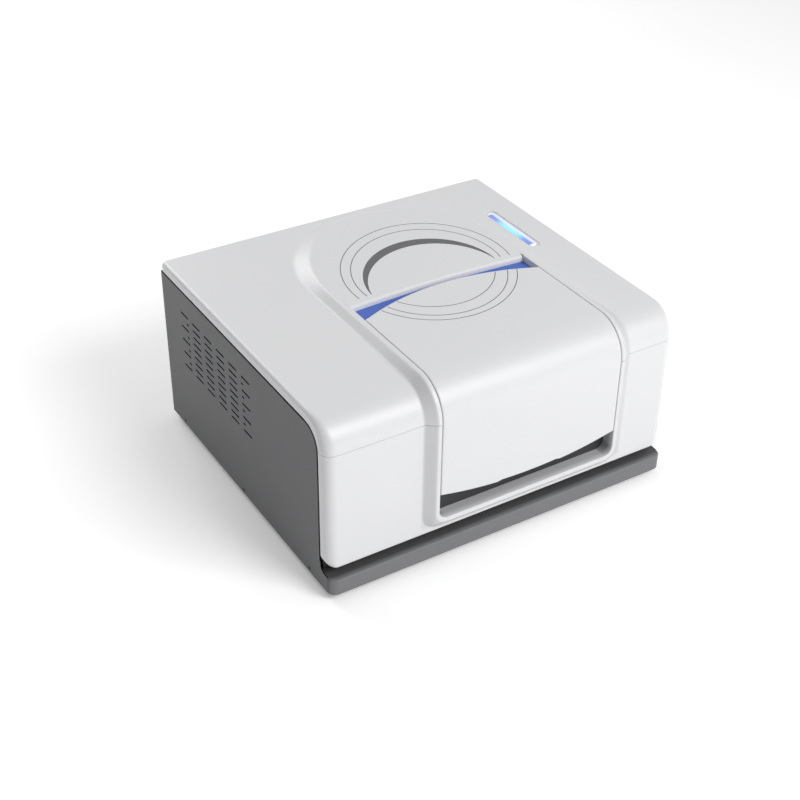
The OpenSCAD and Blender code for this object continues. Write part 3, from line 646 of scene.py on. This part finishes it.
def groove_runs(cx, cy, a, inside):
    """The stretches of an oval that pass a test, as lists of angles."""
    count = 720
    flags = [inside(oval_point(cx, cy, a, 2 * math.pi * i / count)) for i in range(count)]
    if not any(flags):
        return []
    first = next((i for i in range(count) if not flags[i]), 0)
    runs, run = [], []
    for k in range(count + 1):
        i = (first + k) % count
        if flags[i]:
            run.append(2 * math.pi * (first + k) / count)
        elif run:
            runs.append(run)
            run = []
    return [r for r in runs if len(r) > 6]


def on_deck(p):
    return p.y < deck_edge(p.x) - ROLL_R - 0.6


def on_lid(p):
    return p.y > lid_rear(p.x) + 1.6 and abs(p.x - ARCH_X) < LID_HW - 2


# The grooves are drawn as thin dark strips just proud of the surface: painted shade standing in for
# the shade down in the grooves.
def make_lines():
    for name, body, inside, picks in (
        ("deck_lines", "case", on_deck, GROOVES[:2]),
        ("lid_lines", "lid", on_lid, GROOVES),
    ):
        bm = bmesh.new()
        bm.verts.layers.int.new("side")
        for cx, cy, a in picks:
            for run in groove_runs(cx, cy, a, inside):
                inner = [oval_point(cx, cy, a - LINE_W / 2, t) for t in run]
                outer = [oval_point(cx, cy, a + LINE_W / 2, t) for t in run]
                ribbon(bm, inner, outer, ARCH_RISE + PROUD, 0.4)
        wrap_mesh(bm)
        finish_piece(bm, name, body, "inlay_grey")


def ray_to_oval(cx, cy, a, origin, angle):
    """Distance from a point inside an oval to its edge, along an angle."""
    c, s = math.cos(OVAL_TILT), math.sin(OVAL_TILT)
    ox, oy = origin[0] - cx, origin[1] - cy
    dx, dy = math.cos(angle), math.sin(angle)
    px, py = (ox * c + oy * s) / a, (-ox * s + oy * c) / (a * OVAL_RATIO)
    qx, qy = (dx * c + dy * s) / a, (-dx * s + dy * c) / (a * OVAL_RATIO)
    qa, qb, qc = qx * qx + qy * qy, 2 * (px * qx + py * qy), px * px + py * py - 1
    return (-qb + math.sqrt(max(qb * qb - 4 * qa * qc, 0))) / (2 * qa)


def make_crescent():
    centre = (25.5, -12.0)
    inner, outer = [], []
    for i in range(-40, 761):
        angle = math.radians(i / 4)
        r1 = ray_to_oval(26, -5, 83, centre, angle)
        r0 = ray_to_oval(25, -19.5, 83.6, centre, angle)
        p = Vector((centre[0] + r0 * math.cos(angle), REAR_Y - centre[1] - r0 * math.sin(angle), 0))
        q = Vector((centre[0] + r1 * math.cos(angle), REAR_Y - centre[1] - r1 * math.sin(angle), 0))
        if r1 - r0 > 0.12 and on_deck(p) and on_deck(q):
            inner.append(p)
            outer.append(q)
    bm = bmesh.new()
    ribbon(bm, inner, outer, ARCH_RISE + PROUD, 0.7)
    wrap_mesh(bm)
    finish_piece(bm, "deck_crescent", "case", "inlay_grey", ["crescent_inlay"])


# ------------------------------------------------------------ status light


def make_light():
    """A diffuser bar with a domed top, standing in the pocket's slot."""
    half, radius, foot, shoulder, top = 43.0, 5.1, -3.4, -1.3, -0.8
    rows = [pill_ring(half, radius, foot), pill_ring(half, radius, shoulder)]
    for i in range(1, 7):
        a = i / 6 * math.pi / 2
        r = radius - 1.2 * (1 - math.cos(a))
        rows.append(pill_ring(half, r, shoulder + 0.45 * math.sin(a)))
    rows.append(pill_ring(half, 2.0, top))
    bm = sheet_of_rows(rows)
    close_ends(bm, (foot, top))
    wrap_mesh(bm)
    finish_piece(bm, "light_bar", "case", "light_lens", ["light_lens"])


# ------------------------------------------------------------ the plinth


def block_into(bm, x0, x1, y0, y1, z0, z1):
    made = bmesh.ops.create_cube(bm, size=1)["verts"]
    for v in made:
        v.co = (
            mix(x0, x1, v.co.x + 0.5),
            mix(y0, y1, v.co.y + 0.5),
            mix(z0, z1, v.co.z + 0.5),
        )


def nose_ring(x0, x1, y0, y1, radius, inset, z):
    """Plan of the plinth's nose: round at its two front corners, square behind."""
    ring = []
    r = radius - inset
    for side, cx in ((-1, x0 + radius), (1, x1 - radius)):
        for i in range(13):
            a = math.pi * (1 + i / 24) if side < 0 else math.pi * (1.5 + i / 24)
            ring.append(Vector((cx + r * math.cos(a), y0 + radius + r * math.sin(a), z)))
    ring.append(Vector((x1 - inset, y1, z)))
    ring.append(Vector((x0 + inset, y1, z)))
    return ring


def make_plinth():
    low = box_mm("base_tray")[0]
    z0, z1, soft, cap = low.z, low.z + PLINTH_H, 1.6, 4.5
    inner = panel_low.x + PANEL_T
    plan = (-HALF_W, HALF_W, low.y, low.y + 10, 9.0)
    turns = [i / 6 * math.pi / 2 for i in range(7)]
    bends = [(soft * (1 - math.sin(a)), soft * (1 - math.cos(a))) for a in turns]
    rows = [nose_ring(*plan, cap, z0), nose_ring(*plan, soft, z0)]
    rows += [nose_ring(*plan, inset, z0 + rise) for inset, rise in bends[1:]]
    rows += [nose_ring(*plan, rise, z1 - inset) for inset, rise in bends]
    rows += [nose_ring(*plan, cap, z1)]
    bm = sheet_of_rows(rows)
    close_ends(bm, (z0, z1))
    back, rear = low.y + 28, REAR_Y - PANEL_T
    block_into(bm, inner, -inner, low.y + 9.9, back, z0 + 0.4, z1 - 0.02)
    block_into(bm, inner, -inner, back - 2, rear, z0, z0 + 2)
    block_into(bm, inner, inner + 2, back - 2, rear, z0, z0 + 16)
    block_into(bm, -inner - 2, -inner, back - 2, rear, z0, z0 + 16)
    block_into(bm, inner, -inner, rear - 2, rear, z0, z0 + 16)
    block_into(bm, inner + 3, -inner - 3, back - 2, back - 0.1, z0, FRONT_Z + 30)
    scale_mesh(bm)
    finish_piece(bm, "plinth_tray", "case", "plinth_grey", ["base_tray"])


# ------------------------------------------------------------ materials


class Value:
    """A shader socket that can be used in ordinary sums."""

    def __init__(self, tree, socket):
        self.tree, self.socket = tree, socket

    def _math(self, operation, other=None, swap=False):
        parts = [self, other] if other is not None else [self]
        if swap:
            parts.reverse()
        node = self.tree.nodes.new("ShaderNodeMath")
        node.operation = operation
        for slot, part in zip(node.inputs, parts):
            if isinstance(part, Value):
                self.tree.links.new(part.socket, slot)
            else:
                slot.default_value = part
        return Value(self.tree, node.outputs[0])

    def __add__(self, other):
        return self._math("ADD", other)

    __radd__ = __add__

    def __sub__(self, other):
        return self._math("SUBTRACT", other)

    def __rsub__(self, other):
        return self._math("SUBTRACT", other, swap=True)

    def __mul__(self, other):
        return self._math("MULTIPLY", other)

    __rmul__ = __mul__

    def __truediv__(self, other):
        return self._math("DIVIDE", other)

    def __rtruediv__(self, other):
        return self._math("DIVIDE", other, swap=True)

    def __pow__(self, other):
        return self._math("POWER", other)

    def __abs__(self):
        return self._math("ABSOLUTE")

    def at_least(self, limit):
        return self._math("MAXIMUM", limit)

    def clamped(self):
        return self._math("MAXIMUM", 0.0)._math("MINIMUM", 1.0)


class Finish:
    """One material, built up node by node."""

    def __init__(self, name):
        self.material = bpy.data.materials.new(name)
        self.material.use_nodes = True
        self.tree = self.material.node_tree
        self.shader = self.tree.nodes["Principled BSDF"]

    def node(self, kind, settings=None, inputs=None, output=0):
        made = self.tree.nodes.new(kind)
        for key, value in (settings or {}).items():
            if key == "stops":
                ramp = made.color_ramp
                while len(ramp.elements) < len(value):
                    ramp.elements.new(0.5)
                for element, (at, colour) in zip(ramp.elements, value):
                    element.position, element.color = at, colour
            else:
                setattr(made, key, value)
        for key, value in (inputs or {}).items():
            slot = made.inputs[key]
            if isinstance(value, Value):
                self.tree.links.new(value.socket, slot)
            else:
                slot.default_value = value
        return Value(self.tree, made.outputs[output])

    def place(self):
        return self.node("ShaderNodeTexCoord", output="Object")

    def axis(self, name):
        return self.node("ShaderNodeSeparateXYZ", inputs={0: self.place()}, output=name)

    def noise(self, scale, detail=2.0, stretch=None):
        where = self.place()
        if stretch:
            where = self.node("ShaderNodeMapping", inputs={"Vector": where, "Scale": stretch})
        fields = {"Vector": where, "Scale": scale, "Detail": detail}
        return self.node("ShaderNodeTexNoise", inputs=fields, output=0)

    def blend(self, factor, a, b):
        fields = {0: factor, 6: rgba(a), 7: rgba(b)}
        return self.node("ShaderNodeMix", {"data_type": "RGBA"}, fields, output=2)

    def set(self, **sockets):
        for name, value in sockets.items():
            slot = self.shader.inputs[name.replace("_", " ")]
            if isinstance(value, Value):
                self.tree.links.new(value.socket, slot)
            else:
                slot.default_value = value
        return self

    def bump(self, height, strength, distance=0.0002):
        fields = {"Height": height, "Strength": strength, "Distance": distance}
        return self.set(Normal=self.node("ShaderNodeBump", inputs=fields))


def rgba(colour):
    if isinstance(colour, Value):
        return colour
    return (*colour, 1.0) if len(colour) == 3 else tuple(colour)


def plain_finish(name, colour, rough, spread, grain, depth, metal=0.0, vary=0.05):
    """A base coat that drifts a little in colour and gloss, with a fine grain."""
    f = Finish(name)
    cloud = f.noise(9.0, 4.0)
    fine = f.noise(grain, 2.0)
    low = tuple(c * (1 - vary) for c in colour)
    high = tuple(min(1.0, c * (1 + vary)) for c in colour)
    f.set(Base_Color=f.blend(cloud, low, high), Metallic=metal)
    f.set(Roughness=(cloud - 0.5) * spread + (fine - 0.5) * spread + rough)
    f.bump(fine, depth)
    return f


def white_shell():
    """Moulded plastic with a satin coat: soft speckle and faint handling marks.

    Shade is painted in deep inside the finger recess and on the arch's flank.
    """
    f = Finish("white_shell")
    cloud = f.noise(6.0, 3.0)
    speckle = f.noise(2600.0, 2.0)
    smear = f.noise(24.0, 5.0, stretch=(1.0, 0.35, 1.0))
    tone = f.blend(cloud, (0.675, 0.68, 0.69), (0.70, 0.702, 0.708))
    tone = f.blend(((smear - 0.62) * 1.6).clamped(), tone, (0.655, 0.658, 0.665))
    x, y, z = (f.axis(name) / MM for name in "XYZ")
    across = (OPEN_HW + 0.8 - abs(x - ARCH_X)).clamped()
    level = (z - OPEN_Z + 0.6).clamped() * ((OPEN_Z + 60 - z) / 20).clamped()
    deep = ((y - FRONT_Y + ARCH_RISE - 1.5) / 7.0).clamped()
    tone = f.blend(across * level * deep * 0.75, tone, (0.2, 0.2, 0.21))
    off = abs(x - ARCH_X)
    hollow = ((off - CREST_HW + 1) / 4).clamped() * ((FOOT_HW + 2 - off) / 5).clamped()
    hollow = hollow * ((BEND_Y + 60 - y) / 60).clamped() * ((z - FRONT_Z - 6) / 8).clamped()
    tone = f.blend(hollow * 0.3, tone, (0.3, 0.3, 0.31))
    f.set(Base_Color=tone)
    f.set(Roughness=(smear - 0.5) * 0.12 + (speckle - 0.5) * 0.08 + 0.4)
    return f.bump(speckle, 0.07, 0.00012)


def grey_sheet():
    """Powder coat with an orange-peel texture.

    The louvre slots' walls and the side panels' upper and front rims are painted black: painted
    shade standing in for the shade inside the slots and down in the shadow gap.
    """
    f = plain_finish("grey_sheet", (0.115, 0.117, 0.121), 0.55, 0.16, 1500.0, 0.35)
    x, y, z = (f.axis(name) / MM for name in "XYZ")
    side = (5 * (abs(x) - HALF_W + 3)).clamped() * (2 * (REAR_Y - 2.4 - y)).clamped()
    slot = (5 * (HALF_W - 0.25 - abs(x))).clamped()
    radius = BAND_R - SHADOW_GAP
    ahead = (PANEL_Y + radius - y).at_least(0.0)
    above = (z - BAND_Z + SHADOW_GAP + radius).at_least(0.0)
    rim = (SHADOW_W - radius + (ahead**2 + above**2) ** 0.5).clamped() * (z - FRONT_Z - 1).clamped()
    coat = Value(f.tree, f.shader.inputs["Base Color"].links[0].from_socket)
    # painted shade: the slot walls and the rim under the shadow gap turn near-black and lose their
    # shine
    slot_and_gap_shade = side * (slot + rim).clamped()
    return f.set(Base_Color=f.blend(slot_and_gap_shade, coat, (0.004, 0.004, 0.004)), Metallic=slot_and_gap_shade)


def plinth_grey():
    """The same coat, with shade painted in where the front cover stands over it."""
    f = plain_finish("plinth_grey", (0.16, 0.162, 0.168), 0.5, 0.16, 1500.0, 0.3)
    under = ((f.axis("Y") / MM - FRONT_Y + 3.0) / 5.0).clamped()
    coat = Value(f.tree, f.shader.inputs["Base Color"].links[0].from_socket)
    return f.set(Base_Color=f.blend(under * 0.7, coat, (0.03, 0.03, 0.03)))


# dark grey of the crescent and of the groove strips; on the strips it is painted shade standing in
# for the grooves
def inlay_grey():
    return plain_finish("inlay_grey", (0.125, 0.126, 0.13), 0.42, 0.1, 2200.0, 0.12)


def blue_trim():
    return plain_finish("blue_trim", (0.065, 0.15, 0.56), 0.38, 0.1, 2200.0, 0.1)


def black_plastic():
    return plain_finish("black_plastic", (0.03, 0.03, 0.032), 0.45, 0.15, 1400.0, 0.3)


def sill_dark():
    return plain_finish("sill_dark", (0.04, 0.041, 0.043), 0.55, 0.15, 1400.0, 0.3)


def black_coat():
    return plain_finish("black_coat", (0.022, 0.022, 0.024), 0.6, 0.12, 1800.0, 0.25)


def rubber():
    return plain_finish("rubber", (0.02, 0.02, 0.02), 0.78, 0.15, 900.0, 0.4)


def zinc_screw():
    return plain_finish("zinc_screw", (0.03, 0.03, 0.032), 0.36, 0.15, 1800.0, 0.15, metal=0.6)


def bare_steel():
    """Brushed steel: fine lines along the part."""
    f = Finish("bare_steel")
    lines = f.noise(260.0, 3.0, stretch=(0.12, 1.0, 3.0))
    tone = f.blend(lines, (0.5, 0.51, 0.52), (0.62, 0.63, 0.64))
    f.set(Base_Color=tone, Metallic=1.0, Roughness=(lines - 0.5) * 0.25 + 0.34)
    return f.bump(lines, 0.12)


def bench_alloy():
    return plain_finish("bench_alloy", (0.55, 0.56, 0.57), 0.46, 0.12, 1100.0, 0.25, metal=1.0)


def mirror_coat():
    return plain_finish("mirror_coat", (0.86, 0.87, 0.89), 0.06, 0.04, 900.0, 0.01, metal=1.0)


def quartz():
    f = Finish("quartz")
    haze = f.noise(40.0, 3.0)
    f.set(Base_Color=f.blend(haze, (0.88, 0.94, 0.97), (0.93, 0.97, 0.99)))
    f.set(Roughness=haze * 0.08 + 0.03, Alpha=haze * 0.1 + 0.3, IOR=1.46)
    return f


def circuit_board():
    """Solder mask, paler where copper lies under it."""
    f = Finish("circuit_board")
    wave = f.noise(120.0, 0.0)
    mask = ((wave - 0.56) * 14).clamped()
    tone = f.blend(mask, (0.015, 0.12, 0.06), (0.03, 0.2, 0.1))
    return f.set(Base_Color=tone, Roughness=(wave - 0.5) * 0.1 + 0.3)


def light_lens():
    """Blue at both ends, turning to cyan in the middle, with a paler outer half."""
    f = Finish("light_lens")
    y, x = f.axis("Y"), f.axis("X")
    along = abs((y / MM - 61.5) / 48.0)
    stops = [
        (0.0, (0.18, 0.80, 0.80, 1)),
        (0.35, (0.20, 0.66, 0.90, 1)),
        (0.62, (0.08, 0.22, 0.72, 1)),
        (0.9, (0.05, 0.13, 0.55, 1)),
        (0.95, (0.70, 0.82, 0.95, 1)),
        (1.0, (0.80, 0.84, 0.88, 1)),
    ]
    glow = f.node("ShaderNodeValToRGB", {"stops": stops}, {0: along})
    pale = ((x / MM - LIGHT_X + 0.4) * 0.55).clamped()
    haze = f.noise(30.0, 2.0)
    tint = f.blend(pale * 0.85 + haze * 0.08, glow, (0.66, 0.66, 0.88))
    f.set(Base_Color=f.blend(0.5, tint, (0.3, 0.3, 0.33)), Emission_Color=tint)
    f.set(Emission_Strength=0.6, Roughness=haze * 0.1 + 0.18)
    return f


MAKERS = (
    white_shell,
    grey_sheet,
    plinth_grey,
    inlay_grey,
    blue_trim,
    black_plastic,
    sill_dark,
    light_lens,
    black_coat,
    bare_steel,
    zinc_screw,
    bench_alloy,
    rubber,
    quartz,
    mirror_coat,
    circuit_board,
)
materials = {m.__name__: m().material for m in MAKERS}


def finish_cad_nodes():
    """Every made part that stays takes its own slot's finish."""
    slots = {p["node"]: p["material_slot"] for p in frame["record"]["subparts"]}
    for name, node in frame["nodes"].items():
        node.data.materials.clear()
        node.data.materials.append(materials[slots[name]])
        for face in node.data.polygons:
            face.material_index = 0


# ------------------------------------------------------------ stage, in metres and watts

FLOOR_HALF = 14.0
SKY_LEVEL, SKY_SLANT = 0.4, 0.2
LIT_POINT = (0, 0, 0.1)
SOFTBOXES = (
    ("front_softbox", (0.75, -2.0, 1.9), 1.3, 50),
    ("rear_softbox", (-0.4, 2.6, 1.5), 1.6, 44),
)
SENSOR_WIDTH, LENS = 36.0, 64.2
CAMERA_AT = (-0.7637, -1.1986, 1.0403)
CAMERA_RIGHT = (0.85264, -0.52237, 0.01154)
CAMERA_AHEAD = (0.43615, 0.69940, -0.56623)


def make_stage():
    bm = bmesh.new()
    bmesh.ops.create_grid(bm, x_segments=1, y_segments=1, size=FLOOR_HALF)
    mesh = bpy.data.meshes.new("floor")
    bm.to_mesh(mesh)
    bm.free()
    floor = bpy.data.objects.new("floor", mesh)
    bpy.context.scene.collection.objects.link(floor)
    f = Finish("floor_paper")
    cloud = f.noise(3.0, 2.0)
    f.set(Base_Color=f.blend(cloud, (0.93, 0.93, 0.93), (0.95, 0.95, 0.95)), Roughness=0.9)
    f.set(Specular_IOR_Level=0.1, Emission_Color=(1, 1, 1, 1), Emission_Strength=0.18)
    mesh.materials.append(f.material)


def make_light_source(name, place, target, size, power):
    data = bpy.data.lights.new(name, "AREA")
    data.shape, data.size, data.energy = "SQUARE", size, power
    lamp = bpy.data.objects.new(name, data)
    lamp.location = place
    aim = Vector(target) - Vector(place)
    lamp.rotation_mode = "QUATERNION"
    lamp.rotation_quaternion = aim.to_track_quat("-Z", "Y")
    bpy.context.scene.collection.objects.link(lamp)


def make_lights():
    """An even white sky, dimmer from the left, with a softbox in front and one behind."""
    world = bpy.context.scene.world or bpy.data.worlds.new("studio")
    bpy.context.scene.world = world
    world.use_nodes = True
    tree = world.node_tree
    sky = tree.nodes["Background"]
    where = tree.nodes.new("ShaderNodeTexCoord")
    parts = tree.nodes.new("ShaderNodeSeparateXYZ")
    tree.links.new(where.outputs["Generated"], parts.inputs[0])
    side = Value(tree, parts.outputs["X"])
    tree.links.new((side * SKY_SLANT + SKY_LEVEL).socket, sky.inputs["Strength"])
    sky.inputs["Color"].default_value = (1, 1, 1, 1)
    for name, place, size, power in SOFTBOXES:
        make_light_source(name, place, LIT_POINT, size, power)


def make_camera():
    data = bpy.data.cameras.new("camera")
    data.sensor_width, data.lens = SENSOR_WIDTH, LENS
    data.clip_start, data.clip_end = 0.05, 60
    camera = bpy.data.objects.new("camera", data)
    right_axis = Vector(CAMERA_RIGHT).normalized()
    back = -Vector(CAMERA_AHEAD).normalized()
    up = back.cross(right_axis).normalized()
    turn = Matrix((right_axis, up, back)).transposed()
    camera.matrix_world = Matrix.Translation(CAMERA_AT) @ turn.to_4x4()
    bpy.context.scene.collection.objects.link(camera)
    bpy.context.scene.camera = camera


make_camera()
make_stage()
make_lights()
finish_cad_nodes()
make_covers()
make_lid()
make_lines()
make_crescent()
make_light()
make_plinth()
